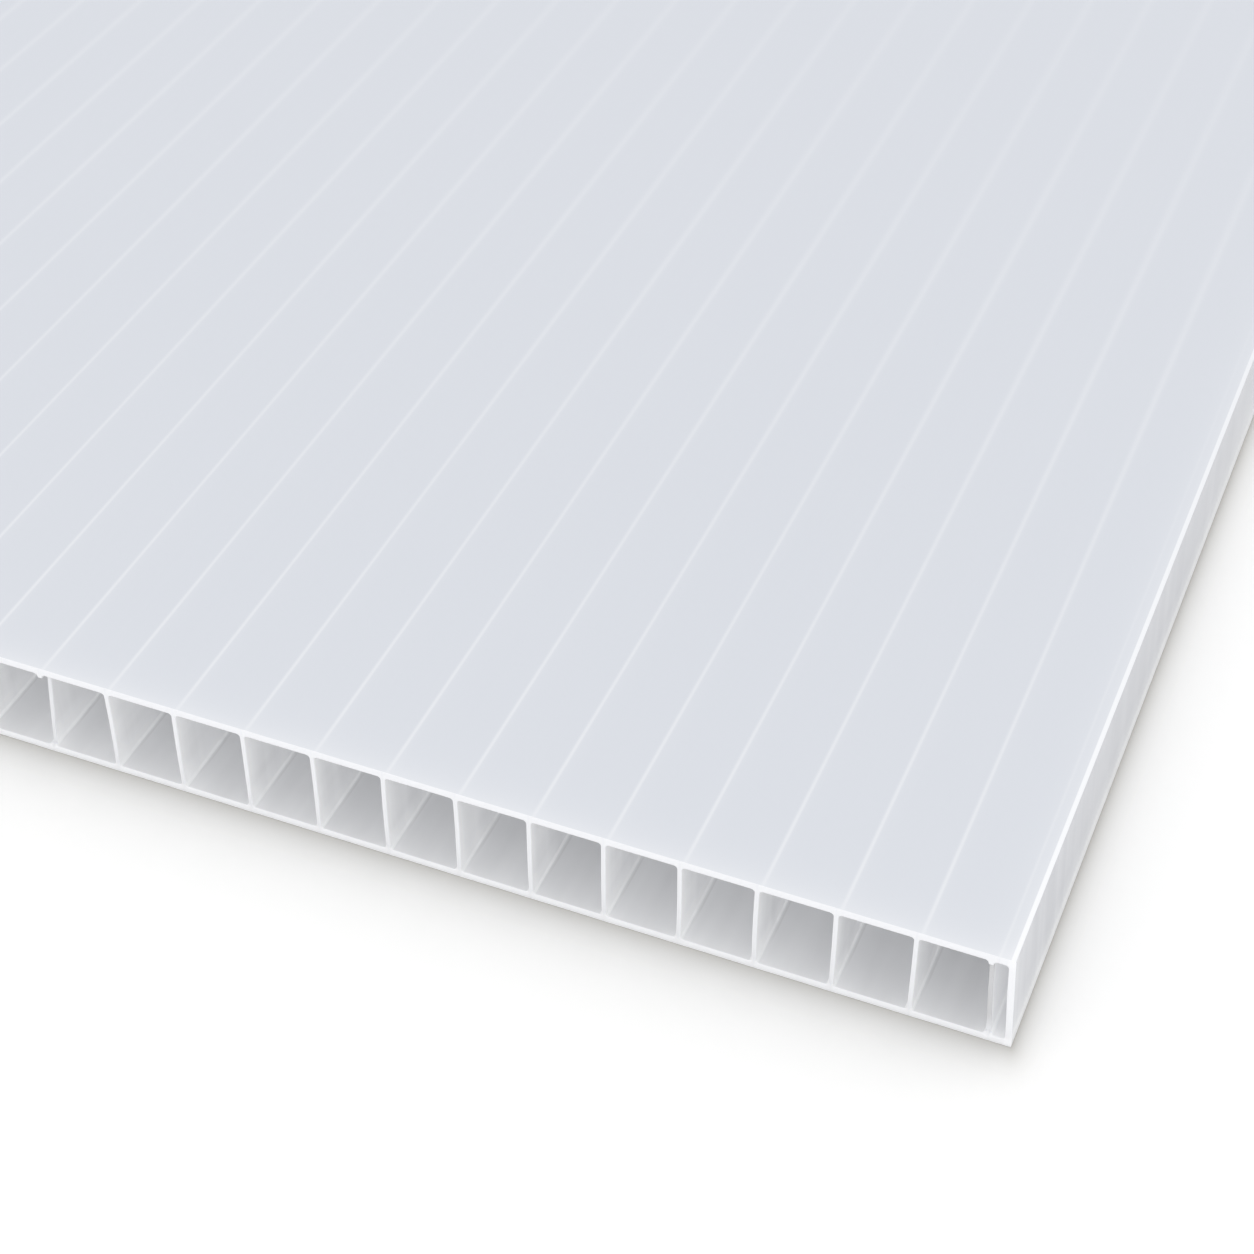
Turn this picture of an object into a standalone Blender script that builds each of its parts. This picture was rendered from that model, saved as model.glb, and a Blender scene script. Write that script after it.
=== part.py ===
"""Twin-wall fluted plastic sheet, extruded in one piece.

Two thin skins are held apart by a row of upright webs, and a closed wall
runs down each long edge. The flutes between the webs run along Y and are
open at both cut ends. The sheet lies flat: X is its width, Z its thickness,
and the origin is at the middle of the face it rests on.
"""
import math

import bmesh
import bpy
from mathutils import Vector

# Driving dimensions, in metres
SHEET_WIDTH = 0.210
SHEET_LENGTH = 0.297
SHEET_THICKNESS = 0.010
FLUTE_PITCH = 0.00665
SKIN_THICKNESS = 0.0007
WEB_THICKNESS = 0.00041
EDGE_WALL = 0.00055
# Least clear width of the narrow cell that is left between the last web and the edge wall
EDGE_CELL_MIN = 0.0006
CELL_FILLET = 0.00032
EDGE_ROUND = 0.00015
FILLET_STEPS = 3
EDGE_STEPS = 2

# Webs that stop short of the front cut end: webs in from the right edge, set-back at the foot and at the head
SHORT_WEBS = ((0, 0.0003, 0.00045), (13, 0.0004, 0.0014))
# What is left of a short web at the cut end, under the top skin and on the bottom skin
STUB_HEIGHT = 0.0004
WEB_ROOT = 0.00006
# How far a cutter stands out of the sheet's end
CUTTER_OVERRUN = 0.001

# Natural polypropylene: translucent white with a bluish cast, smooth but not glossy
SHEET_COLOUR = (0.70, 0.73, 0.79, 1.0)
SHEET_ROUGHNESS = 0.38
SHEET_METALLIC = 0.0

FRONT = -SHEET_LENGTH / 2
SMOOTH_ANGLE = math.radians(35)


def web_centres():
    """X of each web's centre plane, from left to right.

    The row holds as many whole pitches as leave an edge wall and a narrow
    cell at each side, and it is centred on the sheet.
    """
    edge_room = EDGE_WALL + EDGE_CELL_MIN + WEB_THICKNESS / 2
    pitches = math.floor((SHEET_WIDTH - 2 * edge_room) / FLUTE_PITCH)
    first = -pitches * FLUTE_PITCH / 2
    return [first + i * FLUTE_PITCH for i in range(pitches + 1)]


def cell_spans(webs):
    """Left and right X of each hollow cell, edge cells included."""
    half_web = WEB_THICKNESS / 2
    lefts = [-SHEET_WIDTH / 2 + EDGE_WALL] + [x + half_web for x in webs]
    rights = [x - half_web for x in webs] + [SHEET_WIDTH / 2 - EDGE_WALL]
    return list(zip(lefts, rights))


def rounded_rectangle(x0, x1, z0, z1, radius, steps):
    """Points (x, z) round a rectangle whose corners are arcs of the given radius."""
    radius = min(radius, 0.45 * (x1 - x0), 0.45 * (z1 - z0))
    corners = (
        (x1 - radius, z1 - radius, 0),
        (x0 + radius, z1 - radius, 90),
        (x0 + radius, z0 + radius, 180),
        (x1 - radius, z0 + radius, 270),
    )
    points = []
    for centre_x, centre_z, start in corners:
        for step in range(steps + 1):
            angle = math.radians(start + 90 * step / steps)
            points.append((centre_x + radius * math.cos(angle), centre_z + radius * math.sin(angle)))
    return points


def add_loop(bm, points, y):
    """A closed ring of edges through the (x, z) points, in the plane at y."""
    verts = [bm.verts.new((x, y, z)) for x, z in points]
    return [bm.edges.new((verts[i - 1], verts[i])) for i in range(len(verts))]


def extruded_sheet(webs):
    """The die's section, filled between its outline and its cells, drawn out along Y."""
    bm = bmesh.new()
    outline = rounded_rectangle(
        -SHEET_WIDTH / 2, SHEET_WIDTH / 2, 0.0, SHEET_THICKNESS, EDGE_ROUND, EDGE_STEPS)
    edges = add_loop(bm, outline, FRONT)
    for left, right in cell_spans(webs):
        cell = rounded_rectangle(
            left, right, SKIN_THICKNESS, SHEET_THICKNESS - SKIN_THICKNESS, CELL_FILLET, FILLET_STEPS)
        edges += add_loop(bm, cell, FRONT)
    bmesh.ops.triangle_fill(bm, use_beauty=True, use_dissolve=False, edges=edges)
    drawn = bmesh.ops.extrude_face_region(bm, geom=bm.faces[:])
    far_end = [item for item in drawn["geom"] if isinstance(item, bmesh.types.BMVert)]
    bmesh.ops.translate(bm, verts=far_end, vec=Vector((0.0, SHEET_LENGTH, 0.0)))
    bmesh.ops.recalc_face_normals(bm, faces=bm.faces[:])
    mesh = bpy.data.meshes.new("fluted_sheet")
    bm.to_mesh(mesh)
    bm.free()
    return mesh


def web_cutter(name, web_x, foot_setback, head_setback):
    """Wedge that takes a web's front end away, from its stub down to its low root."""
    reach = WEB_THICKNESS / 2 + CELL_FILLET
    foot_z = SKIN_THICKNESS + WEB_ROOT
    head_z = SHEET_THICKNESS - SKIN_THICKNESS - STUB_HEIGHT
    outside = FRONT - CUTTER_OVERRUN
    profile = (
        (outside, foot_z),
        (FRONT + foot_setback, foot_z),
        (FRONT + head_setback, head_z),
        (outside, head_z),
    )
    bm = bmesh.new()
    side = bm.faces.new([bm.verts.new((web_x - reach, y, z)) for y, z in profile])
    drawn = bmesh.ops.extrude_face_region(bm, geom=[side])
    far_side = [item for item in drawn["geom"] if isinstance(item, bmesh.types.BMVert)]
    bmesh.ops.translate(bm, verts=far_side, vec=Vector((2 * reach, 0.0, 0.0)))
    bmesh.ops.recalc_face_normals(bm, faces=bm.faces[:])
    mesh = bpy.data.meshes.new(name)
    bm.to_mesh(mesh)
    bm.free()
    cutter = bpy.data.objects.new(name, mesh)
    cutter.hide_render = True
    cutter.display_type = "WIRE"
    bpy.context.collection.objects.link(cutter)
    return cutter


def sheet_material():
    """Translucent white polypropylene."""
    material = bpy.data.materials.new("natural_polypropylene")
    material.use_nodes = True
    shader = material.node_tree.nodes["Principled BSDF"]
    shader.inputs["Base Color"].default_value = SHEET_COLOUR
    shader.inputs["Roughness"].default_value = SHEET_ROUGHNESS
    shader.inputs["Metallic"].default_value = SHEET_METALLIC
    return material


def build():
    """The sheet with its two short webs."""
    for old in list(bpy.data.objects):
        bpy.data.objects.remove(old, do_unlink=True)
    webs = web_centres()
    mesh = extruded_sheet(webs)
    mesh.materials.append(sheet_material())
    mesh.shade_smooth()
    mesh.set_sharp_from_angle(angle=SMOOTH_ANGLE)
    sheet = bpy.data.objects.new("fluted_sheet", mesh)
    bpy.context.collection.objects.link(sheet)
    for from_right, foot_setback, head_setback in SHORT_WEBS:
        web_x = webs[-1 - from_right]
        cutter = web_cutter(f"short_web_cutter_{from_right}", web_x, foot_setback, head_setback)
        cut = sheet.modifiers.new(f"short_web_{from_right}", "BOOLEAN")
        cut.operation = "DIFFERENCE"
        cut.solver = "EXACT"
        cut.object = cutter


build()
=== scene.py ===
# %% [markdown]
# # A twin-wall fluted plastic sheet
#
# The object is one extrusion: two thin skins, a row of upright webs between
# them, and a closed wall down each long edge. This lesson keeps the packed
# solid as the measure of everything, works the visible surface out again as
# a much finer one, and gives it the look of translucent white plastic.

import math

import bmesh
import bpy
import numpy as np
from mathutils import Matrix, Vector


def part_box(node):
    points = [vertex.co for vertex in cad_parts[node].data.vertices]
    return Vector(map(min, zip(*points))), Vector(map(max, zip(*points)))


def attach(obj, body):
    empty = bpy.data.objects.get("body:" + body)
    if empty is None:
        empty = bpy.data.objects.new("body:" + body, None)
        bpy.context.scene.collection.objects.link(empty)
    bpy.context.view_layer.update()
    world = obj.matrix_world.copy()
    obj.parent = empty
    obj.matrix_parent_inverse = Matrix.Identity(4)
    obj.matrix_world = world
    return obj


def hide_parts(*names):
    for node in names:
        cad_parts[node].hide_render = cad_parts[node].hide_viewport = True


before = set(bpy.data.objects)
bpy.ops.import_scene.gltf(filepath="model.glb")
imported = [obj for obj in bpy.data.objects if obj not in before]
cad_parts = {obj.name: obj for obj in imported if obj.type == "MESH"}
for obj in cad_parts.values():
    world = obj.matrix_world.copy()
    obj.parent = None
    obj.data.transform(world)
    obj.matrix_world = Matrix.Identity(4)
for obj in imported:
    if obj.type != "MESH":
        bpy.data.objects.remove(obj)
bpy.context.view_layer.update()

# %% [markdown]
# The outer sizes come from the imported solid. The die's own sizes are written
# once here: the pitch of the flutes, the skins, the webs, the edge walls, the
# least width of the narrow cells beside them, and the small fillets that the
# melt leaves in the corners of every cell. All are in metres.

# %% Sizes of the sheet
NODE = "fluted_sheet"
low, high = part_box(NODE)
WIDTH = high.x - low.x
THICKNESS = high.z - low.z
LEFT, RIGHT = low.x, high.x
FRONT, BACK = low.y, high.y
LENGTH = BACK - FRONT
MIDDLE_X = (LEFT + RIGHT) / 2
MIDDLE_Y = (FRONT + BACK) / 2
# Millimetres in a metre
MM = 1000.0

PITCH = 0.00665
SKIN = 0.0007
WEB = 0.00041
EDGE_WALL = 0.00055
EDGE_CELL_MIN = 0.0006
FILLET = 0.00032
EDGE_ROUND = 0.00015
CUT_ROUND = 0.00006

pitches = math.floor((WIDTH - 2 * (EDGE_WALL + EDGE_CELL_MIN + WEB / 2)) / PITCH)
web_x = (np.arange(pitches + 1) - pitches / 2) * PITCH + MIDDLE_X
print("webs:", len(web_x), "from edge to first web, mm:", round((web_x[0] - LEFT) * MM, 3))

# %% [markdown]
# The photograph looks down on the front right corner from in front and a
# little to the right. The camera is placed by the angle of its line of sight
# and the point it looks at, which lies on the top skin. It has no shift.

# %% Camera
CAMERA_AZIMUTH = math.radians(22.412)
CAMERA_ELEVATION = math.radians(41.706)
CAMERA_DISTANCE = 0.22921
AIM_FROM_RIGHT = 0.04319
AIM_FROM_FRONT = 0.02452
LENS = 74.50
SENSOR = 36.0

back_along_sight = Vector((
    math.sin(CAMERA_AZIMUTH) * math.cos(CAMERA_ELEVATION),
    -math.cos(CAMERA_AZIMUTH) * math.cos(CAMERA_ELEVATION),
    math.sin(CAMERA_ELEVATION),
))
aim = Vector((RIGHT - AIM_FROM_RIGHT, FRONT + AIM_FROM_FRONT, high.z))

lens = bpy.data.cameras.new("camera")
lens.lens = LENS
lens.sensor_width = SENSOR
lens.clip_start = 0.005
lens.clip_end = 20.0
camera = bpy.data.objects.new("camera", lens)
bpy.context.collection.objects.link(camera)
camera.location = aim + CAMERA_DISTANCE * back_along_sight
camera.rotation_euler = back_along_sight.to_track_quat("Z", "Y").to_euler()
bpy.context.scene.camera = camera
print("camera at", tuple(round(value, 4) for value in camera.location))

# %% [markdown]
# Every hollow cell has the same outline, a rectangle with small round
# corners. One loop of parameters describes it for any size: a point is the
# corner's centre, slid along the straight sides by `slide_x` and `slide_z`
# from -1 to 1, plus a radius turned by `turn`. The points stand closer
# together beside each corner, so that the flat sides shade flat.

# %% One loop of parameters for a cell's outline
CORNER_STEPS = 4
SIDE_STOPS = np.array([0.008, 0.03, 0.15, 0.4, 0.7, 0.97, 0.994])
FLAT_STOPS = np.array([0.012, 0.3, 0.7, 0.988])


def loop_parameters():
    """slide_x, slide_z, turn, corner share and quarter of each point round a cell.

    The points start at the top right corner, and the quarter counts the
    corners. Along a corner `turn` goes through 90 degrees and the share from
    0 to 1. Along a side `turn` stays, the share is -1, and one slide goes from
    one corner's sign to the next one's.
    """
    share = np.linspace(0.0, 1.0, CORNER_STEPS + 1)
    signs = ((1, 1), (-1, 1), (-1, -1), (1, -1))
    parts = []
    for index, (sign_x, sign_z) in enumerate(signs):
        next_x, next_z = signs[(index + 1) % 4]
        stops = FLAT_STOPS if sign_z == next_z else SIDE_STOPS
        # The right side runs upwards: its stops are reversed to stand at the left side's heights
        if sign_x == 1 and sign_z == -1:
            stops = 1.0 - stops[::-1]
        start = index * math.pi / 2
        corner = np.stack([
            np.full_like(share, sign_x),
            np.full_like(share, sign_z),
            start + share * math.pi / 2,
            share,
            np.full_like(share, index),
        ])
        side = np.stack([
            sign_x + (next_x - sign_x) * stops,
            sign_z + (next_z - sign_z) * stops,
            np.full_like(stops, start + math.pi / 2),
            np.full_like(stops, -1.0),
            np.full_like(stops, index),
        ])
        parts += [corner, side]
    return np.concatenate(parts, axis=1)


slide_x, slide_z, turn, corner_share, quarter = loop_parameters()
LOOP = len(turn)
print("points round a cell:", LOOP)

# %% [markdown]
# A cell's own outline can be widened evenly, which the rounded cut edge
# needs. The outline of the material around a cell, its tile, runs down the
# middle of the two webs beside it and along the sheet's outer faces. It has
# one point for each point of the cell, so that the cut end between the two
# is a clean ring of four-sided faces. At the sheet's four long corners the
# tile's corner is the sheet's own round edge.

# %% Outlines of the cells and of their tiles
# Largest share of a cell's width that one fillet may take
FILLET_SHARE = 0.45

half_web = WEB / 2
cell_left = np.concatenate([[LEFT + EDGE_WALL], web_x + half_web])
cell_right = np.concatenate([web_x - half_web, [RIGHT - EDGE_WALL]])
tile_left = np.concatenate([[LEFT], web_x])
tile_right = np.concatenate([web_x, [RIGHT]])
CELLS = len(cell_left)
first_tile = np.arange(CELLS) == 0
last_tile = np.arange(CELLS) == CELLS - 1


def cell_outline(widen):
    """x and z of every cell's outline, pushed out into its walls by `widen`.

    x = middle + slide_x * (half width - radius) + (radius + widen) * cos(turn),
    and z is made the same way with the sine.
    """
    middle_x = ((cell_left + cell_right) / 2)[:, None]
    half_width = ((cell_right - cell_left) / 2)[:, None]
    middle_z = THICKNESS / 2
    half_height = THICKNESS / 2 - SKIN
    radius = np.minimum(FILLET, FILLET_SHARE * 2 * half_width)
    x = middle_x + slide_x * (half_width - radius) + (radius + widen) * np.cos(turn)
    z = middle_z + slide_z * (half_height - radius) + (radius + widen) * np.sin(turn)
    return x, z


def tile_outline(inset):
    """x and z of every tile's outline, with the sheet's outer faces drawn in by `inset`.

    A point beside a straight side is the cell's point moved straight across to
    the tile's border. A corner's points go along one border to the tile's
    corner and down the next, or round the sheet's own edge.
    """
    cell_x, cell_z = cell_outline(0.0)
    x0 = np.where(first_tile, tile_left + inset, tile_left)[:, None]
    x1 = np.where(last_tile, tile_right - inset, tile_right)[:, None]
    z0 = inset
    z1 = THICKNESS - inset
    on_corner = corner_share >= 0
    to_right = (quarter == 0) | (quarter == 3)
    to_top = (quarter == 0) | (quarter == 1)
    corner_x = np.where(to_right, x1, x0)
    corner_z = np.where(to_top, z1, z0)
    across = np.abs(np.cos(turn)) > 0.5
    side_x = np.where(np.cos(turn) > 0, x1, x0)
    side_z = np.where(np.sin(turn) > 0, z1, z0)
    x = np.where(across, side_x, cell_x)
    z = np.where(across, cell_z, side_z)
    # Along a corner the first half of the points runs up to the tile's corner and the second half leaves it
    begin = np.arange(LOOP) - np.round(corner_share * CORNER_STEPS).astype(int)
    begin = np.where(on_corner, begin, 0)
    end = np.where(on_corner, begin + CORNER_STEPS, 0)
    vertical_first = (quarter == 0) | (quarter == 2)
    start_x = np.where(vertical_first, corner_x, cell_x[:, begin])
    start_z = np.where(vertical_first, cell_z[:, begin], corner_z)
    stop_x = np.where(vertical_first, cell_x[:, end], corner_x)
    stop_z = np.where(vertical_first, corner_z, cell_z[:, end])
    first_half = np.clip(corner_share * 2, 0, 1)
    second_half = np.clip(corner_share * 2 - 1, 0, 1)
    square_x = start_x + (corner_x - start_x) * first_half + (stop_x - corner_x) * second_half
    square_z = start_z + (corner_z - start_z) * first_half + (stop_z - corner_z) * second_half
    outer = (first_tile[:, None] & ~to_right) | (last_tile[:, None] & to_right)
    round_radius = EDGE_ROUND - inset
    sign_x = np.where(to_right, 1, -1)
    sign_z = np.where(to_top, 1, -1)
    round_x = corner_x + round_radius * (np.cos(turn) - sign_x)
    round_z = corner_z + round_radius * (np.sin(turn) - sign_z)
    x = np.where(on_corner, np.where(outer, round_x, square_x), x)
    z = np.where(on_corner, np.where(outer, round_z, square_z), z)
    return x, z


tile_x, tile_z = tile_outline(0.0)
print("tiles:", CELLS, "outer width, mm:", round((tile_x.max() - tile_x.min()) * MM, 3))

# %% [markdown]
# Only part of a tile's outline is the sheet's skin: the top and bottom, and
# the outer side of the first and last tile. This mask says which stretches
# between neighbouring points of a loop carry skin.

# %% Which stretches of a tile's outline are skin
next_point = (np.arange(LOOP) + 1) % LOOP
in_corner = (corner_share >= 0) & (corner_share < 1)
middle_turn = np.where(in_corner, turn + math.pi / 4 / CORNER_STEPS, turn)
faces_flat = np.abs(np.sin(middle_turn)) > math.sqrt(0.5)
faces_left = ~faces_flat & (np.cos(middle_turn) < 0)
faces_right = ~faces_flat & (np.cos(middle_turn) > 0)
skin = (
    faces_flat[None, :]
    | (faces_left[None, :] & first_tile[:, None])
    | (faces_right[None, :] & last_tile[:, None])
)
print("skin stretches:", int(skin.sum()), "of", skin.size)

# %% [markdown]
# The surface of a tile is one closed band. Its rows start on the skin at
# the front, turn over the rounded cut edge, cross the cut end to the cell,
# turn into the cell, run down the flute, and come back the same way at the
# far end. Rows stand close together near the cut ends, where the detail is.

# %% Rows from the skin over the cut end into the flute
END_STOPS = np.array([0.00008, 0.0005, 0.001, 0.0016, 0.0024, 0.0034, 0.005, 0.0075, 0.012])
SKIN_STOPS = END_STOPS[:3]
MIDDLE_ROWS = 8
RING_STOPS = np.array([0.12, 0.5, 0.88])
ROUND_STEPS = 2
# Kinds of row: skin, rounded cut edge of the skin, cut end, rounded cut edge of the cell, flute wall
ON_SKIN, SKIN_ROUND, CUT_FACE, CELL_ROUND, IN_FLUTE = range(5)


def stations(stops, middle):
    """Y of the rows from one cut end's rounded edge to the other's.

    They stand at the stops from each end, with `middle` even rows between.
    """
    near = np.concatenate([[CUT_ROUND], CUT_ROUND + stops])
    far = LENGTH - near[::-1]
    between = np.linspace(near[-1], far[0], middle + 2)[1:-1]
    return FRONT + np.concatenate([near, between, far])


def band_rows():
    """The band's points, shaped (rows, cells, loop, 3), and the kind of each row."""
    rows = []
    angles = np.linspace(0, math.pi / 2, ROUND_STEPS + 1)

    def add(x, z, y, kind):
        rows.append((x, np.full_like(x, y), z, kind))

    def cross_end(y_end, inward, leaving_skin):
        ring = []
        for angle in angles:
            x, z = tile_outline(CUT_ROUND * (1 - math.cos(angle)))
            ring.append((x, z, y_end + inward * CUT_ROUND * (1 - math.sin(angle)), SKIN_ROUND))
        outer_x, outer_z = tile_outline(CUT_ROUND)
        inner_x, inner_z = cell_outline(CUT_ROUND)
        for stop in RING_STOPS[::-1]:
            x = inner_x + (outer_x - inner_x) * stop
            z = inner_z + (outer_z - inner_z) * stop
            ring.append((x, z, y_end, CUT_FACE))
        for angle in angles[::-1]:
            x, z = cell_outline(CUT_ROUND * (1 - math.cos(angle)))
            ring.append((x, z, y_end + inward * CUT_ROUND * (1 - math.sin(angle)), CELL_ROUND))
        for entry in ring if leaving_skin else ring[::-1]:
            add(*entry)

    cross_end(FRONT, 1.0, True)
    x, z = cell_outline(0.0)
    for y in stations(END_STOPS, MIDDLE_ROWS)[1:-1]:
        add(x, z, y, IN_FLUTE)
    cross_end(BACK, -1.0, False)
    x, z = tile_outline(0.0)
    for y in stations(SKIN_STOPS, MIDDLE_ROWS)[1:-1][::-1]:
        add(x, z, y, ON_SKIN)
    kinds = np.array([row[3] for row in rows])
    return np.stack([np.stack(row[:3], axis=-1) for row in rows]), kinds


points, row_kind = band_rows()
ROWS = len(row_kind)
print("band:", ROWS, "rows by", CELLS, "cells by", LOOP, "points")

# %% [markdown]
# Two webs stop a little short of the front cut end: the one beside the right
# edge wall, and the one thirteen pitches to its left. Each leaves a small
# stub under the top skin. Their front ends are drawn back into the flute by
# moving points along Y, less and less with depth, so the rounded cut edge
# goes with them.

# %% Draw the two short webs back
# Webs in from the right edge, set-back at the foot and at the head
SHORT_WEBS = ((0, 0.0003, 0.00045), (13, 0.0004, 0.0014))
STUB_HEIGHT = 0.0004
ROOT_HEIGHT = 0.00012
DRAW_DEPTH = 0.005
# Points within this many half webs of the web's middle move in full
FULL_REACH = 1.3
# The move fades out from this far below the head's level to this far above it
HEAD_BELOW = 0.0001
HEAD_ABOVE = 0.00002


def smooth_step(value, start, stop):
    """0 before start, 1 after stop, and t * t * (3 - 2 * t) between them."""
    t = np.clip((value - start) / (stop - start), 0.0, 1.0)
    return t * t * (3 - 2 * t)


def draw_back(cloud, centre, foot, head):
    """Moves the front of the web at `centre` inwards by an amount that grows from foot to head.

    The move is the set-back at that height, times 1 - depth / DRAW_DEPTH. It
    fades out beside the web, below its root and above its head.
    """
    foot_z = SKIN + ROOT_HEIGHT
    head_z = THICKNESS - SKIN - STUB_HEIGHT
    x, y, z = cloud[..., 0], cloud[..., 1], cloud[..., 2]
    across = 1 - smooth_step(np.abs(x - centre), half_web * FULL_REACH, half_web + FILLET)
    above_root = smooth_step(z, SKIN, foot_z)
    below_stub = 1 - smooth_step(z, head_z - HEAD_BELOW, head_z + HEAD_ABOVE)
    rise = above_root * below_stub
    setback = foot + (head - foot) * np.clip((z - foot_z) / (head_z - foot_z), 0, 1)
    nearness = np.clip(1 - (y - FRONT) / DRAW_DEPTH, 0, 1)
    cloud[..., 1] = y + setback * across * rise * nearness


for from_right, foot_setback, head_setback in SHORT_WEBS:
    draw_back(points, web_x[-1 - from_right], foot_setback, head_setback)
    print("short web at x =", round(float(web_x[-1 - from_right]), 5))

# %% [markdown]
# In the photograph the closed edge wall leans: its foot stands out and its
# top is drawn in, so more of the wall is seen from above. The web beside it
# leans with it and stands a trace further in. Both are slid sideways in
# proportion to the height above the floor, so the foot keeps the full width.

# %% Lean the edge walls
EDGE_LEAN = 0.0006
LAST_WEB_SHIFT = 0.00005


def lean_edges(cloud):
    """Slides each edge wall and the web beside it inwards by EDGE_LEAN * height / THICKNESS.

    The web has its small shift on top of that, which fades out from its face to
    the wall's inner face. From the last web towards the sheet's middle the
    whole move fades out over one pitch.
    """
    x, z = cloud[..., 0], cloud[..., 2]
    side = np.sign(x - MIDDLE_X)
    from_middle = np.abs(x - MIDDLE_X)
    wall_face = WIDTH / 2 - EDGE_WALL
    web_middle = pitches / 2 * PITCH
    lean = EDGE_LEAN * z / THICKNESS
    to_wall = np.clip((from_middle - web_middle - half_web) / (wall_face - web_middle - half_web), 0, 1)
    to_web = np.clip((from_middle - web_middle + PITCH) / (PITCH - half_web), 0, 1)
    move = (lean + LAST_WEB_SHIFT) * to_web - LAST_WEB_SHIFT * to_wall
    cloud[..., 0] = x - side * move


lean_edges(points)
print("edge walls lean by", EDGE_LEAN * MM, "mm")

# %% [markdown]
# Extruded sheet is never quite flat. Each skin's outer face sinks by about two
# hundredths of a millimetre between two webs, and the webs wander a little
# from side to side along the flute. Both are smooth displacements of the whole
# cloud of points. Neither goes outwards, so the outer size stays.

# %% Sink the skins and let the webs wander
SKIN_SINK = 0.000018
WEB_WANDER = 0.00005
WANDER_LENGTH = 0.061
# Radians that each web's sine is ahead of its left neighbour's
WANDER_STEP = 2.4
WANDER_MARGIN = 1.5 * EDGE_WALL


def wander(cloud):
    """Moves points sideways by WEB_WANDER * sin(2 pi depth / WANDER_LENGTH + WANDER_STEP * web number).

    The move is strongest at mid height, and the skins and edge walls stay.
    """
    x, y, z = cloud[..., 0], cloud[..., 1], cloud[..., 2]
    number = np.round((x - web_x[0]) / PITCH)
    height = np.clip((z - SKIN) / (THICKNESS - 2 * SKIN), 0, 1)
    inside = (x > LEFT + WANDER_MARGIN) & (x < RIGHT - WANDER_MARGIN)
    amount = WEB_WANDER * np.sin(math.pi * height) * inside
    cloud[..., 0] = x + amount * np.sin(2 * math.pi * (y - FRONT) / WANDER_LENGTH + WANDER_STEP * number)


def sink(cloud):
    """Lowers the top face and lifts the bottom one by sin squared of the place between two webs."""
    x, z = cloud[..., 0], cloud[..., 2]
    place = np.clip((x - web_x[0]) / PITCH, 0, pitches)
    depth = SKIN_SINK * np.sin(math.pi * place) ** 2
    half_skin = SKIN / 2
    towards = np.where(z > THICKNESS - half_skin, -1.0, np.where(z < half_skin, 1.0, 0.0))
    cloud[..., 2] = z + depth * towards


wander(points)
sink(points)
print("displaced", points[..., 0].size, "points")

# %% [markdown]
# The plastic is the same all through, yet it shows four faces. The skins let
# the webs show as lighter lines, the closed edge walls have soft streaks, a
# freshly cut end is whitest of all because light gathers in it, and the flute
# walls are seen in half shade. That light and shade is painted into four
# finishes, which also differ a little in roughness and relief. Each face of the
# band is given one of these four finishes from the rows and points it lies
# between.

# %% Choose a finish with its painted light and shade for every face
SKIN_FINISH_AND_LIGHT, EDGE_FINISH_AND_LIGHT, CUT_FINISH_AND_LIGHT, FLUTE_FINISH_AND_LIGHT = range(4)


def finish_and_light_of_faces():
    """Finish, with its painted light and shade, of the face that follows each row, cell and point.

    Between two rows on the skin it is skin or edge wall by the way the stretch
    faces. A face that touches the cut end or lies in its rounded edges is cut
    end, and all others are flute wall.
    """
    next_kind = np.roll(row_kind, -1)
    rounded = (row_kind == next_kind) & np.isin(row_kind, (SKIN_ROUND, CELL_ROUND))
    on_cut = rounded | (row_kind == CUT_FACE) | (next_kind == CUT_FACE)
    in_flute = ~on_cut & (np.maximum(row_kind, next_kind) >= CELL_ROUND)
    outer = np.where(faces_flat, SKIN_FINISH_AND_LIGHT, EDGE_FINISH_AND_LIGHT)
    by_row = np.where(on_cut, CUT_FINISH_AND_LIGHT, FLUTE_FINISH_AND_LIGHT)[:, None]
    finish = np.where((on_cut | in_flute)[:, None], by_row, outer[None, :])
    return np.broadcast_to(finish[:, None, :], (ROWS, CELLS, LOOP))


face_finish_and_light = finish_and_light_of_faces()
print("faces of each finish before the skin is trimmed:", np.bincount(face_finish_and_light.ravel()))

# %% [markdown]
# The band becomes one mesh: a four-sided face between each pair of rows and
# each pair of points, left out where a row of skin has no skin to carry.
# Neighbouring tiles share their borders, so the doubles are merged and the
# sheet is one closed surface, as the extrusion is.

# %% Build the mesh
WELD = 0.000002


def band_mesh(name):
    """One mesh of all the bands, each face with its finish as material index."""
    index = np.arange(ROWS * CELLS * LOOP).reshape(ROWS, CELLS, LOOP)
    following = np.roll(index, -1, axis=0)
    faces = np.stack([index, following, following[:, :, next_point], index[:, :, next_point]], axis=-1)
    next_kind = np.roll(row_kind, -1)
    on_skin = (row_kind <= SKIN_ROUND) & (next_kind <= SKIN_ROUND)
    keep = np.where(on_skin[:, None, None], skin[None], True)
    mesh = bpy.data.meshes.new(name)
    mesh.from_pydata(points.reshape(-1, 3), [], faces[keep])
    mesh.polygons.foreach_set("material_index", face_finish_and_light[keep].astype(np.int32))
    return mesh


mesh = band_mesh("sheet_surface")
welded = bmesh.new()
welded.from_mesh(mesh)
loose = [vert for vert in welded.verts if not vert.link_faces]
bmesh.ops.delete(welded, geom=loose, context="VERTS")
bmesh.ops.remove_doubles(welded, verts=welded.verts, dist=WELD)
bmesh.ops.recalc_face_normals(welded, faces=welded.faces)
open_edges = sum(1 for edge in welded.edges if len(edge.link_faces) != 2)
volume = welded.calc_volume()
welded.to_mesh(mesh)
welded.free()
mesh.shade_smooth()
sheet = bpy.data.objects.new("sheet_surface", mesh)
bpy.context.collection.objects.link(sheet)
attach(sheet, "root")
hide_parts(NODE)
print("faces:", len(mesh.polygons), "open edges:", open_edges, "volume, cm3:", round(volume * 1e6, 2))

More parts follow.
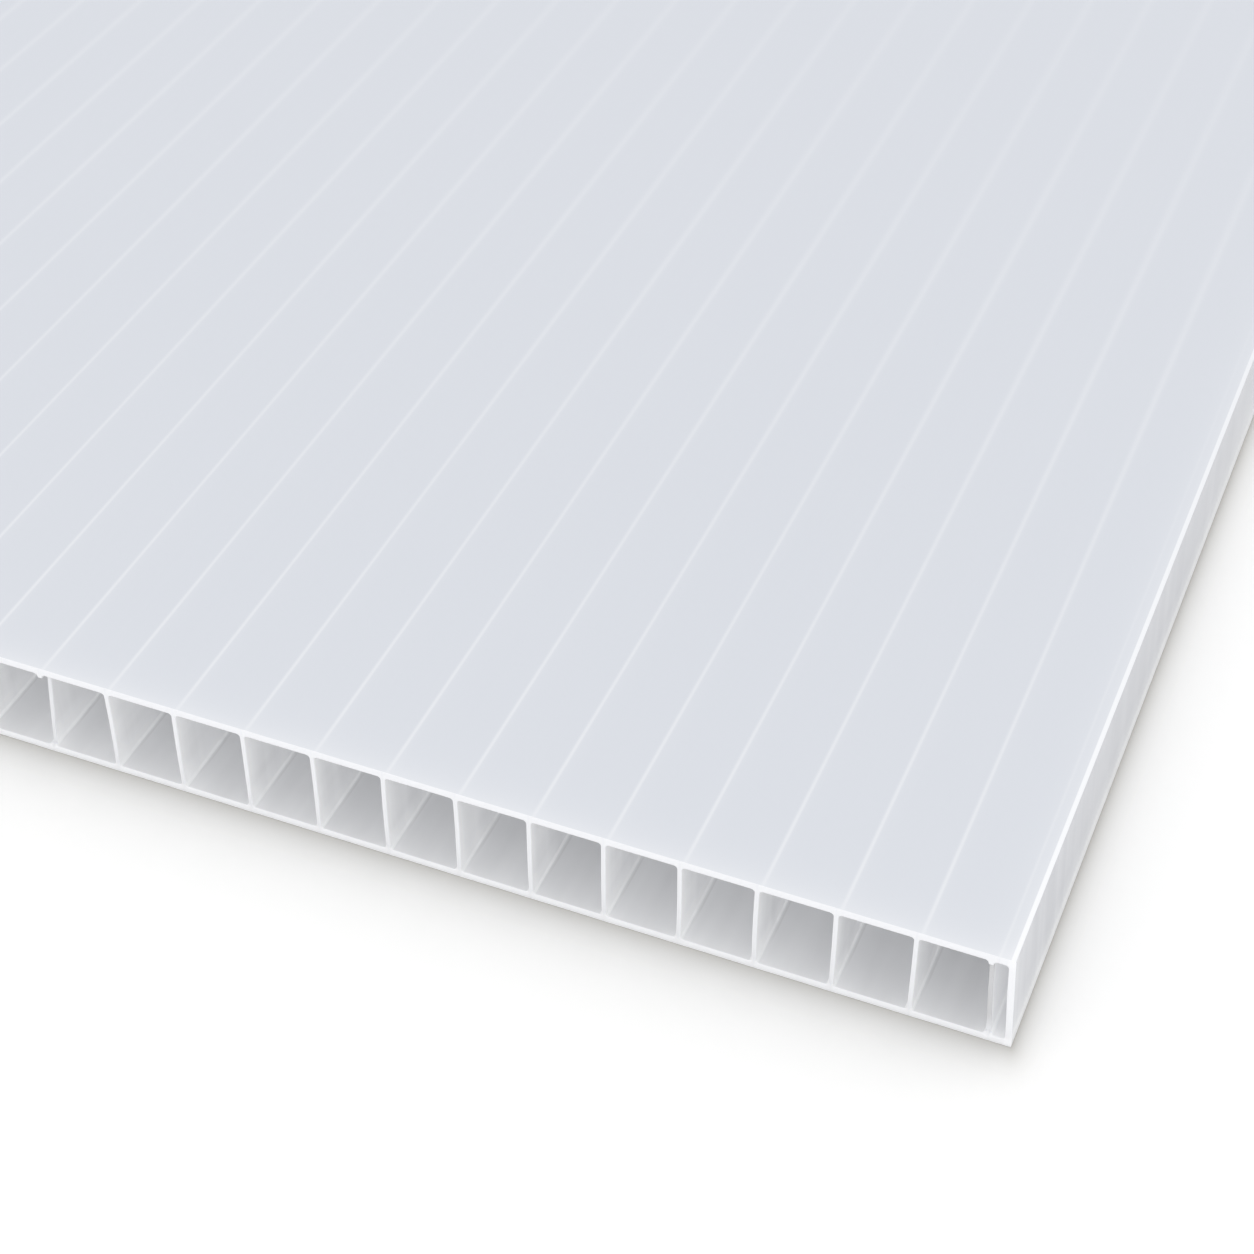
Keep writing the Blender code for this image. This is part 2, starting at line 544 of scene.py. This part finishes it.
# %% [markdown]
# The materials are sums of small masks, so a few helpers keep them readable:
# Math nodes with their products, differences and sums, a soft ramp between
# two values, a fading glow, a bell, and a blend of two colours by a mask.

# %% Small helpers for node trees
def calc(tree, operation, *terms):
    """Output of a Math node; each term is a number or another node's output."""
    maths = tree.nodes.new("ShaderNodeMath")
    maths.operation = operation
    for socket, term in zip(maths.inputs, terms):
        if isinstance(term, bpy.types.NodeSocket):
            tree.links.new(term, socket)
        else:
            socket.default_value = term
    return maths.outputs[0]


def times(tree, first, second):
    """Product of two masks or numbers."""
    return calc(tree, "MULTIPLY", first, second)


def minus(tree, first, second):
    """First less second."""
    return calc(tree, "SUBTRACT", first, second)


def weighted_sum(tree, *pairs):
    """Sum of mask * weight over the given pairs."""
    total = times(tree, *pairs[0])
    for mask, weight in pairs[1:]:
        total = calc(tree, "MULTIPLY_ADD", mask, weight, total)
    return total


def ramp(tree, value, start, stop):
    """0 up to start, 1 from stop on, and a smooth step between them; start may lie above stop."""
    mapped = tree.nodes.new("ShaderNodeMapRange")
    mapped.interpolation_type = "SMOOTHSTEP"
    mapped.inputs["From Min"].default_value = min(start, stop)
    mapped.inputs["From Max"].default_value = max(start, stop)
    tree.links.new(value, mapped.inputs["Value"])
    result = mapped.outputs["Result"]
    return result if start < stop else minus(tree, 1.0, result)


def fade(tree, distance, length):
    """exp(-distance / length)."""
    return calc(tree, "EXPONENT", calc(tree, "DIVIDE", distance, -length))


def bell(tree, distance, width):
    """exp(-(distance / width) squared); the width may be a number or an output."""
    share = calc(tree, "DIVIDE", distance, width)
    return calc(tree, "EXPONENT", times(tree, times(tree, share, share), -1.0))


def blend(tree, mask, start, stop):
    """Colour `start` where the mask is 0 and `stop` where it is 1."""
    mix = tree.nodes.new("ShaderNodeMix")
    mix.data_type = "RGBA"
    tree.links.new(mask, mix.inputs["Factor"])
    for name, colour in (("A", start), ("B", stop)):
        socket = next(entry for entry in mix.inputs if entry.name == name and entry.type == "RGBA")
        if isinstance(colour, bpy.types.NodeSocket):
            tree.links.new(colour, socket)
        else:
            socket.default_value = (*colour, 1.0)
    return next(entry for entry in mix.outputs if entry.type == "RGBA")


def new_group(name, inputs, outputs):
    """An empty node group with float or vector sockets, and its two end nodes."""
    tree = bpy.data.node_groups.new(name, "ShaderNodeTree")
    for label, kind in inputs:
        tree.interface.new_socket(label, in_out="INPUT", socket_type=kind)
    for label, kind in outputs:
        tree.interface.new_socket(label, in_out="OUTPUT", socket_type=kind)
    return tree, tree.nodes.new("NodeGroupInput"), tree.nodes.new("NodeGroupOutput")


print("node helpers ready")

# %% [markdown]
# All four finishes need to know where on the sheet a point lies. This group
# turns Object coordinates into millimetres: how far from the nearer cut end,
# how far from the nearer long edge as it leans, how far to the right of the
# nearest web, and how high above the floor.

# %% Node group: place on the sheet
VALUE = "NodeSocketFloat"
VECTOR = "NodeSocketVector"

place_tree, place_in, place_out = new_group(
    "place_on_sheet",
    [("Position", VECTOR)],
    [("End Distance", VALUE), ("Edge Distance", VALUE), ("Web Offset", VALUE), ("Height", VALUE)],
)
split = place_tree.nodes.new("ShaderNodeSeparateXYZ")
place_tree.links.new(place_in.outputs["Position"], split.inputs[0])
from_middle_x = calc(place_tree, "ABSOLUTE", minus(place_tree, split.outputs["X"], MIDDLE_X))
from_middle_y = calc(place_tree, "ABSOLUTE", minus(place_tree, split.outputs["Y"], MIDDLE_Y))
end_distance = minus(place_tree, LENGTH / 2, from_middle_y)
leaned = calc(place_tree, "MULTIPLY_ADD", split.outputs["Z"], EDGE_LEAN / THICKNESS, from_middle_x)
edge_distance = minus(place_tree, WIDTH / 2, leaned)
from_first_web = minus(place_tree, split.outputs["X"], float(web_x[0]))
in_pitches = calc(place_tree, "DIVIDE", from_first_web, PITCH)
nearest = calc(place_tree, "ROUND", in_pitches)
nearest = calc(place_tree, "MINIMUM", calc(place_tree, "MAXIMUM", nearest, 0.0), float(pitches))
for name, value in (
    ("End Distance", times(place_tree, end_distance, MM)),
    ("Edge Distance", times(place_tree, edge_distance, MM)),
    ("Web Offset", times(place_tree, minus(place_tree, in_pitches, nearest), PITCH * MM)),
    ("Height", times(place_tree, split.outputs["Z"], MM)),
):
    place_tree.links.new(value, place_out.inputs[name])
print("group:", place_tree.name)

# %% [markdown]
# Opal plastic is never one even tone. Slow clouds come from uneven pigment,
# narrower bands from uneven cooling, and long faint lines from the lips of
# the die. All follow the way the sheet was drawn, so the noise is stretched
# along Y. The group gives a mask of each, and a height for a Bump node.

# %% Node group: milky clouds and die lines
milk_tree, milk_in, milk_out = new_group(
    "milky_plastic",
    [("Position", VECTOR)],
    [("Clouds", VALUE), ("Bands", VALUE), ("Lines", VALUE), ("Relief", VALUE)],
)


def stretched_noise(tree, position, scale, detail):
    """Noise from 0 to 1 with about `scale` waves per metre along X, Y and Z."""
    mapping = tree.nodes.new("ShaderNodeMapping")
    mapping.inputs["Scale"].default_value = scale
    noise = tree.nodes.new("ShaderNodeTexNoise")
    noise.inputs["Scale"].default_value = 1.0
    noise.inputs["Detail"].default_value = detail
    tree.links.new(position, mapping.inputs["Vector"])
    tree.links.new(mapping.outputs[0], noise.inputs["Vector"])
    return noise.outputs["Fac"]


position = milk_in.outputs["Position"]
clouds = stretched_noise(milk_tree, position, (60.0, 22.0, 60.0), 3.0)
bands = stretched_noise(milk_tree, position, (430.0, 45.0, 430.0), 2.0)
lines = stretched_noise(milk_tree, position, (1500.0, 6.0, 1500.0), 2.0)
pebble = stretched_noise(milk_tree, position, (5200.0, 2600.0, 5200.0), 2.0)
relief = calc(milk_tree, "ADD", times(milk_tree, lines, 0.7), times(milk_tree, pebble, 0.3))
for name, value in (("Clouds", clouds), ("Bands", bands), ("Lines", lines), ("Relief", relief)):
    milk_tree.links.new(value, milk_out.inputs[name])
print("group:", milk_tree.name)

# %% [markdown]
# Light that has entered the sheet leaves it again in soft upright streaks on
# the webs and the edge walls. The group stretches noise along the height and
# lets it change slowly from web to web, so that no two walls look alike.

# %% Node group: soft streaks
streak_tree, streak_in, streak_out = new_group(
    "upright_streaks",
    [("Position", VECTOR)],
    [("Broad", VALUE), ("Fine", VALUE)],
)
position = streak_in.outputs["Position"]
broad = stretched_noise(streak_tree, position, (40.0, 330.0, 28.0), 1.0)
fine = stretched_noise(streak_tree, position, (40.0, 1300.0, 60.0), 2.0)
streak_tree.links.new(broad, streak_out.inputs["Broad"])
streak_tree.links.new(fine, streak_out.inputs["Fine"])
print("group:", streak_tree.name)

# %% [markdown]
# The four finishes start alike: the same plastic, so the same refractive
# index, and the groups that they need, fed with Object coordinates. A fine
# relief in the Normal breaks up the reflections, since no extruded face is a
# mirror.

# %% Start of every plastic material
PLASTIC_IOR = 1.49
DIE_RELIEF = 0.000004
BLACK = (0.0, 0.0, 0.0)


def plastic_material(name, *group_trees):
    """A material with the given groups placed in it; returns it with its tree, shader and group outputs."""
    material = bpy.data.materials.new(name)
    material.use_nodes = True
    tree = material.node_tree
    shader = tree.nodes["Principled BSDF"]
    shader.inputs["IOR"].default_value = PLASTIC_IOR
    shader.inputs["Emission Color"].default_value = (*BLACK, 1.0)
    shader.inputs["Emission Strength"].default_value = 1.0
    coordinates = tree.nodes.new("ShaderNodeTexCoord")
    groups = []
    for group_tree in group_trees:
        group = tree.nodes.new("ShaderNodeGroup")
        group.node_tree = group_tree
        tree.links.new(coordinates.outputs["Object"], group.inputs["Position"])
        groups.append(group.outputs)
    return material, tree, shader, *groups


def relief_bump(tree, shader, height, distance, strength):
    """Feeds the shader's Normal from a Bump node; distance is the depth of the relief in metres."""
    bump = tree.nodes.new("ShaderNodeBump")
    bump.inputs["Distance"].default_value = distance
    bump.inputs["Strength"].default_value = strength
    tree.links.new(height, bump.inputs["Height"])
    tree.links.new(bump.outputs[0], shader.inputs["Normal"])


print("finishes to build: skin, edge wall, cut end, flute wall")

# %% [markdown]
# Through the milky top skin each web shows as a fine lighter line, which is
# painted light: it is sharp and bright near the cut end, and wider and fainter
# towards the middle of the sheet. It lies a little to the right of the web,
# with a faint tail on that side. The web beside the edge wall has a painted
# line of its own, by its distance from the edge. From here on, places, widths
# and reaches are in millimetres, and only the depth of a relief is in metres.

# %% Lines over the webs
LINE_SHIFT = 0.42
LINE_WIDTH = 0.165
LINE_WIDENING = 0.38
LINE_REACH = 88.0
LAST_LINE = 1.34
LAST_LINE_WIDTH = 0.13
LAST_LINE_REACH = 70.0

skin_plastic, tree, shader, place, milk = plastic_material("opal_plastic", place_tree, milk_tree)
from_end = place["End Distance"]
from_edge = place["Edge Distance"]
across = minus(tree, place["Web Offset"], LINE_SHIFT)
line_width = calc(tree, "MULTIPLY_ADD", ramp(tree, from_end, 20.0, 145.0), LINE_WIDENING, LINE_WIDTH)
line = bell(tree, across, line_width)
tail = times(tree, ramp(tree, across, 0.0, 0.1), fade(tree, calc(tree, "MAXIMUM", across, 0.0), 0.7))
dim_at_cut = calc(tree, "MULTIPLY_ADD", fade(tree, from_end, 2.0), -0.68, 1.0)
strength = times(tree, fade(tree, from_end, LINE_REACH), dim_at_cut)
strength = times(tree, strength, ramp(tree, from_edge, 1.7, 2.6))
# painted light: the lighter lines that the webs show through the skin
painted_web_lines = times(tree, calc(tree, "MULTIPLY_ADD", tail, 0.2, line), strength)
last_line = bell(tree, minus(tree, from_edge, LAST_LINE), LAST_LINE_WIDTH)
last_line = times(tree, last_line, fade(tree, from_end, LAST_LINE_REACH))
print("lines over", len(web_x), "webs")

# %% [markdown]
# The skins also have a soft glow along the cut ends and the long edges. The
# narrow cell beside each edge wall is a little lighter, and the edge wall
# itself is a white highlight strip. All of it is painted light, set by
# distance. Real translucency would take many times the render time for the
# same look.

# %% Skin finish
SKIN_TONE = (0.681, 0.708, 0.765)
SKIN_LIGHT = (0.97, 0.98, 1.0)
STRIP_GLOW = (0.03, 0.03, 0.03)

# painted light: glow along the cut ends and long edges, a lighter narrow cell, and a white highlight strip
# with a weak emission over the edge wall
strip_strength = calc(tree, "MULTIPLY_ADD", fade(tree, from_end, 80.0), 0.5, 0.45)
wall_strip_highlight = times(tree, ramp(tree, from_edge, 0.50, 0.38), strip_strength)
edge_cell = ramp(tree, from_edge, LAST_LINE + 0.13, LAST_LINE - 0.12)
light = weighted_sum(
    tree,
    (painted_web_lines, 0.37),
    (fade(tree, from_end, 1.5), 0.27),
    (fade(tree, from_end, 8.0), 0.045),
    (fade(tree, from_end, 60.0), 0.06),
    (fade(tree, from_edge, 1.1), 0.27),
    (fade(tree, from_edge, 15.0), 0.04),
    (last_line, 0.15),
    (times(tree, edge_cell, fade(tree, from_end, 30.0)), 0.05),
    (minus(tree, milk["Clouds"], 0.5), 0.05),
    (minus(tree, milk["Lines"], 0.5), 0.02),
)
light = calc(tree, "MAXIMUM", calc(tree, "MAXIMUM", light, 0.0), wall_strip_highlight)
tree.links.new(blend(tree, light, SKIN_TONE, SKIN_LIGHT), shader.inputs["Base Color"])
tree.links.new(blend(tree, wall_strip_highlight, BLACK, STRIP_GLOW), shader.inputs["Emission Color"])
tree.links.new(calc(tree, "MULTIPLY_ADD", milk["Clouds"], 0.16, 0.30), shader.inputs["Roughness"])
relief_bump(tree, shader, milk["Relief"], DIE_RELIEF, 0.5)
mesh.materials.append(skin_plastic)
print("finish:", skin_plastic.name)

# %% [markdown]
# The edge walls carry painted light. Light caught in the narrow cell behind
# the wall comes out in broad soft streaks, clearest near the cut end, and the
# wall is lighter next to the cut. The wall is lighter along its foot, where
# the floor throws light back, and far from the cut that light climbs higher
# up. Its top rim has a painted highlight.

# %% Edge wall finish
EDGE_TONE = (0.607, 0.617, 0.650)
EDGE_LIGHT = (0.96, 0.97, 0.99)
TOP = THICKNESS * MM

edge_plastic, tree, shader, place, milk, streak = plastic_material(
    "edge_wall_plastic", place_tree, milk_tree, streak_tree)
from_end = place["End Distance"]
height = place["Height"]
near_corner = calc(tree, "MULTIPLY_ADD", fade(tree, from_end, 25.0), 0.7, 0.3)
far_along = ramp(tree, from_end, 50.0, 110.0)
foot_strength = calc(tree, "MULTIPLY_ADD", far_along, -0.5, 1.0)
# painted light: streaks, a lighter band near the cut and along the foot, and a highlight on the top rim
light = weighted_sum(
    tree,
    (times(tree, minus(tree, streak["Broad"], 0.5), near_corner), 0.8),
    (times(tree, minus(tree, streak["Fine"], 0.5), near_corner), 0.25),
    (fade(tree, from_end, 8.0), 0.17),
    (ramp(tree, height, 4.2, 1.8), 0.22),
    (times(tree, foot_strength, ramp(tree, height, 2.4, 0.3)), 0.75),
    (times(tree, far_along, ramp(tree, height, 7.5, 3.0)), 0.30),
    (ramp(tree, height, TOP - 0.12, TOP - 0.05), 0.3),
)
light = calc(tree, "MAXIMUM", calc(tree, "ADD", light, 0.03), 0.0)
tree.links.new(blend(tree, light, EDGE_TONE, EDGE_LIGHT), shader.inputs["Base Color"])
tree.links.new(calc(tree, "MULTIPLY_ADD", milk["Clouds"], 0.16, 0.32), shader.inputs["Roughness"])
relief_bump(tree, shader, milk["Relief"], DIE_RELIEF, 0.5)
mesh.materials.append(edge_plastic)
print("finish:", edge_plastic.name)

# %% [markdown]
# The cut ends. A saw or knife leaves a slightly rough face, and the light that
# travels inside the plastic comes out there, so it is the whitest part; that
# whiteness is partly the rough face's own and partly painted light, in the
# colour and in a weak glow. The top skin's end is painted lightest, the bottom
# one's has a painted glow of its own to stay white in the sheet's shade, and
# the middle of a web's end is a touch darker than its rims. The short web
# beside the edge wall is set back into the shade, and its end is given painted
# shade as grey as the flute.

# %% Cut end finish
CUT_TONE = (0.85, 0.862, 0.89)
CUT_LIGHT = (0.935, 0.945, 0.975)
SET_BACK_SHADE_TONE = (0.63, 0.635, 0.65)
WHITE = (1.0, 1.0, 1.0)
SAW_RELIEF = 0.00001

cut_plastic, tree, shader, place, milk = plastic_material("cut_end_plastic", place_tree, milk_tree)
from_edge = place["Edge Distance"]
height = place["Height"]
# painted light: whiter where the end is flush with the cut and towards the top skin, with a weak glow
flush = ramp(tree, place["End Distance"], 0.35, 0.12)
upper = ramp(tree, height, TOP - 1.4, TOP - 0.5)
lower = ramp(tree, height, 1.3, 0.5)
web_core = bell(tree, place["Web Offset"], 0.09)
wall_end = ramp(tree, from_edge, 0.7, 0.5)
light = weighted_sum(
    tree,
    (flush, 0.75),
    (upper, 0.25),
    (web_core, -0.35),
    (minus(tree, milk["Relief"], 0.5), 0.12),
)
light = calc(tree, "MAXIMUM", light, 0.0)
glow = times(tree, light, weighted_sum(tree, (lower, 0.13), (wall_end, 0.04)))
glow = calc(tree, "ADD", glow, 0.04)
# painted shade: the set-back end of the web beside the edge wall is toned grey
stub_foot = (THICKNESS - SKIN - STUB_HEIGHT) * MM
set_back_shade = times(tree, ramp(tree, from_edge, 3.4, 2.8), minus(tree, 1.0, flush))
set_back_shade = times(tree, set_back_shade, ramp(tree, height, 0.9, 3.0))
set_back_shade = times(tree, set_back_shade, ramp(tree, height, stub_foot + 0.05, stub_foot - 0.15))
tone = blend(tree, light, CUT_TONE, CUT_LIGHT)
tree.links.new(blend(tree, set_back_shade, tone, SET_BACK_SHADE_TONE), shader.inputs["Base Color"])
tree.links.new(blend(tree, glow, BLACK, WHITE), shader.inputs["Emission Color"])
tree.links.new(calc(tree, "MULTIPLY_ADD", milk["Relief"], 0.2, 0.45), shader.inputs["Roughness"])
relief_bump(tree, shader, milk["Relief"], SAW_RELIEF, 0.6)
mesh.materials.append(cut_plastic)
print("finish:", cut_plastic.name)

# %% [markdown]
# The flute walls share one material, so masks tell the parts of a flute apart:
# the webs' upright faces, the narrow cell, the fillets and the floor. A thin
# painted highlight marks the fillet along the floor and a thin painted shadow
# lies beside it. The floor is painted a little lighter just to the right of
# each web.

# %% Parts of a flute
flute_plastic, tree, shader, place, milk, streak = plastic_material(
    "flute_plastic", place_tree, milk_tree, streak_tree)
from_end = place["End Distance"]
height = place["Height"]
to_right = place["Web Offset"]
from_web = calc(tree, "ABSOLUTE", to_right)
fillet_middle = (SKIN + 0.5 * FILLET) * MM
upright = ramp(tree, from_web, 0.42, 0.28)
narrow_cell = ramp(tree, place["Edge Distance"], 2.05, 1.9)
wide_cell = times(tree, upright, minus(tree, 1.0, narrow_cell))
# painted highlight along the fillet at the floor
fillet_highlight = bell(tree, minus(tree, height, fillet_middle), 0.08)
fillet_highlight = times(tree, fillet_highlight, ramp(tree, from_web, 0.9, 0.5))
on_floor = ramp(tree, height, fillet_middle + 0.1, fillet_middle - 0.1)
# painted light on the floor just to the right of each web
floor_light_by_web = fade(tree, calc(tree, "MAXIMUM", minus(tree, to_right, 0.5), 0.0), 1.0)
floor_light_by_web = times(tree, floor_light_by_web, ramp(tree, to_right, 0.2, 0.5))
floor_light_by_web = times(tree, floor_light_by_web, on_floor)
# painted shadow beside the fillet's highlight
fillet_shadow = times(tree, bell(tree, minus(tree, from_web, 0.56), 0.09), on_floor)
print("fillet's middle above the sheet's foot, mm:", round(fillet_middle, 2))

# %% [markdown]
# The flutes are lit from the open end and, through both skins, from all
# round, so they are lightest at the cut and stay a middle grey further in. An
# opaque wall would go nearly black there. A pale colour that lets the light
# bounce, painted lighter still near the cut and along the walls' foot, and a
# weak glow that stands for light through the skins, painted in streaks on the
# webs and stronger in the narrow cell, bring that back.

# %% Flute wall finish
FLUTE_TONE = (0.78, 0.785, 0.80)
FLUTE_LIGHT = (0.97, 0.975, 0.985)
FILLET_SHADOW_TONE = (0.66, 0.66, 0.665)
FLUTE_GLOW = (0.99, 0.995, 1.0)
FLUTE_ROUGHNESS = 0.42

streaks = weighted_sum(
    tree,
    (minus(tree, streak["Broad"], 0.5), 0.08),
    (minus(tree, streak["Fine"], 0.5), 0.07),
)
# painted light: lighter near the cut end, along the walls' foot, over the fillet and beside each web
light = weighted_sum(
    tree,
    (fillet_highlight, 0.9),
    (fade(tree, from_end, 1.0), 0.34),
    (times(tree, wide_cell, fade(tree, from_end, 1.6)), 0.55),
    (floor_light_by_web, 0.30),
    (times(tree, wide_cell, ramp(tree, height, 3.2, 1.2)), 0.50),
    (minus(tree, milk["Bands"], 0.4), 0.7),
)
tone = blend(tree, calc(tree, "MAXIMUM", light, 0.0), FLUTE_TONE, FLUTE_LIGHT)
shade = times(tree, times(tree, fillet_shadow, ramp(tree, from_end, 1.5, 5.0)), 0.45)
# painted light: a glow that grows deeper in, with streaks on the webs and more in the narrow cell
glow = weighted_sum(
    tree,
    (minus(tree, 1.0, fade(tree, from_end, 5.0)), 0.035),
    (fillet_highlight, 0.04),
    (times(tree, upright, calc(tree, "ADD", streaks, 0.035)), 1.0),
    (times(tree, upright, bell(tree, minus(tree, from_end, 3.1), 0.45)), 0.02),
    (narrow_cell, 0.054),
)
glow = calc(tree, "ADD", glow, 0.032)
tree.links.new(blend(tree, shade, tone, FILLET_SHADOW_TONE), shader.inputs["Base Color"])
tree.links.new(blend(tree, glow, BLACK, FLUTE_GLOW), shader.inputs["Emission Color"])
shader.inputs["Roughness"].default_value = FLUTE_ROUGHNESS
relief_bump(tree, shader, milk["Relief"], DIE_RELIEF, 0.4)
mesh.materials.append(flute_plastic)
print("finish:", flute_plastic.name)

# %% [markdown]
# The floor is a plain white sweep. Its own brightness only shows to the
# camera, to glossy rays and through glass, so it looks white without
# throwing more light on the object, and it still takes the object's shadow.

# %% Floor
FLOOR_SIZE = 6.0

bpy.ops.mesh.primitive_plane_add(size=FLOOR_SIZE, location=(0.0, 0.0, 0.0))
floor = bpy.context.object
floor.name = "floor"
paper = bpy.data.materials.new("white_floor")
paper.use_nodes = True
floor.data.materials.append(paper)
tree = paper.node_tree
paper_shader = tree.nodes["Principled BSDF"]
paper_shader.inputs["Roughness"].default_value = 0.9
print("floor:", FLOOR_SIZE, "m square")

# %% [markdown]
# Where sheet and floor meet, a painted shadow tones the paper down a little
# and slightly warm, like the tight shadow that a flat sheet leaves around its
# outline. The painted shadow fades with the distance outside the sheet's
# rectangle, over a slightly longer reach at the cut ends than at the long
# edges.

# %% Floor with a painted shadow round the sheet
PAPER_TONE = (0.93, 0.93, 0.925)
CONTACT_SHADOW_TONE = (0.42, 0.41, 0.385)
CONTACT_REACH_X = 1.15
CONTACT_REACH_Y = 1.65
PAPER_GLOW = 0.14

coordinates = tree.nodes.new("ShaderNodeTexCoord")
split = tree.nodes.new("ShaderNodeSeparateXYZ")
tree.links.new(coordinates.outputs["Object"], split.inputs[0])
outside = []
for axis, middle, half, reach in (
    ("X", MIDDLE_X, WIDTH / 2, CONTACT_REACH_X),
    ("Y", MIDDLE_Y, LENGTH / 2, CONTACT_REACH_Y),
):
    offset = calc(tree, "ABSOLUTE", minus(tree, split.outputs[axis], middle))
    beyond = calc(tree, "MAXIMUM", minus(tree, offset, half), 0.0)
    outside.append(times(tree, beyond, MM / reach))
gap = calc(tree, "SQRT", calc(tree, "ADD", *[times(tree, part, part) for part in outside]))
# painted shadow on the paper round the sheet's outline
contact_shadow = blend(tree, fade(tree, gap, 1.0), PAPER_TONE, CONTACT_SHADOW_TONE)
tree.links.new(contact_shadow, paper_shader.inputs["Base Color"])
glow = tree.nodes.new("ShaderNodeEmission")
path = tree.nodes.new("ShaderNodeLightPath")
seen = calc(tree, "ADD", path.outputs["Is Camera Ray"], path.outputs["Is Glossy Ray"])
seen = calc(tree, "MINIMUM", calc(tree, "ADD", seen, path.outputs["Is Transmission Ray"]), 1.0)
tree.links.new(times(tree, seen, PAPER_GLOW), glow.inputs["Strength"])
both = tree.nodes.new("ShaderNodeAddShader")
tree.links.new(paper_shader.outputs[0], both.inputs[0])
tree.links.new(glow.outputs[0], both.inputs[1])
tree.links.new(both.outputs[0], tree.nodes["Material Output"].inputs["Surface"])
print("finish:", paper.name)

# %% [markdown]
# The light is a white dome all round, as in a light tent. At a strength of 1
# a matt colour on the sheet's top renders about as it is written.

# %% Light
world = bpy.data.worlds.new("studio")
world.use_nodes = True
background = world.node_tree.nodes["Background"]
background.inputs["Strength"].default_value = 1.0
background.inputs["Color"].default_value = (*WHITE, 1.0)
bpy.context.scene.world = world
bpy.context.scene.view_settings.view_transform = "Standard"
print("light tent ready")
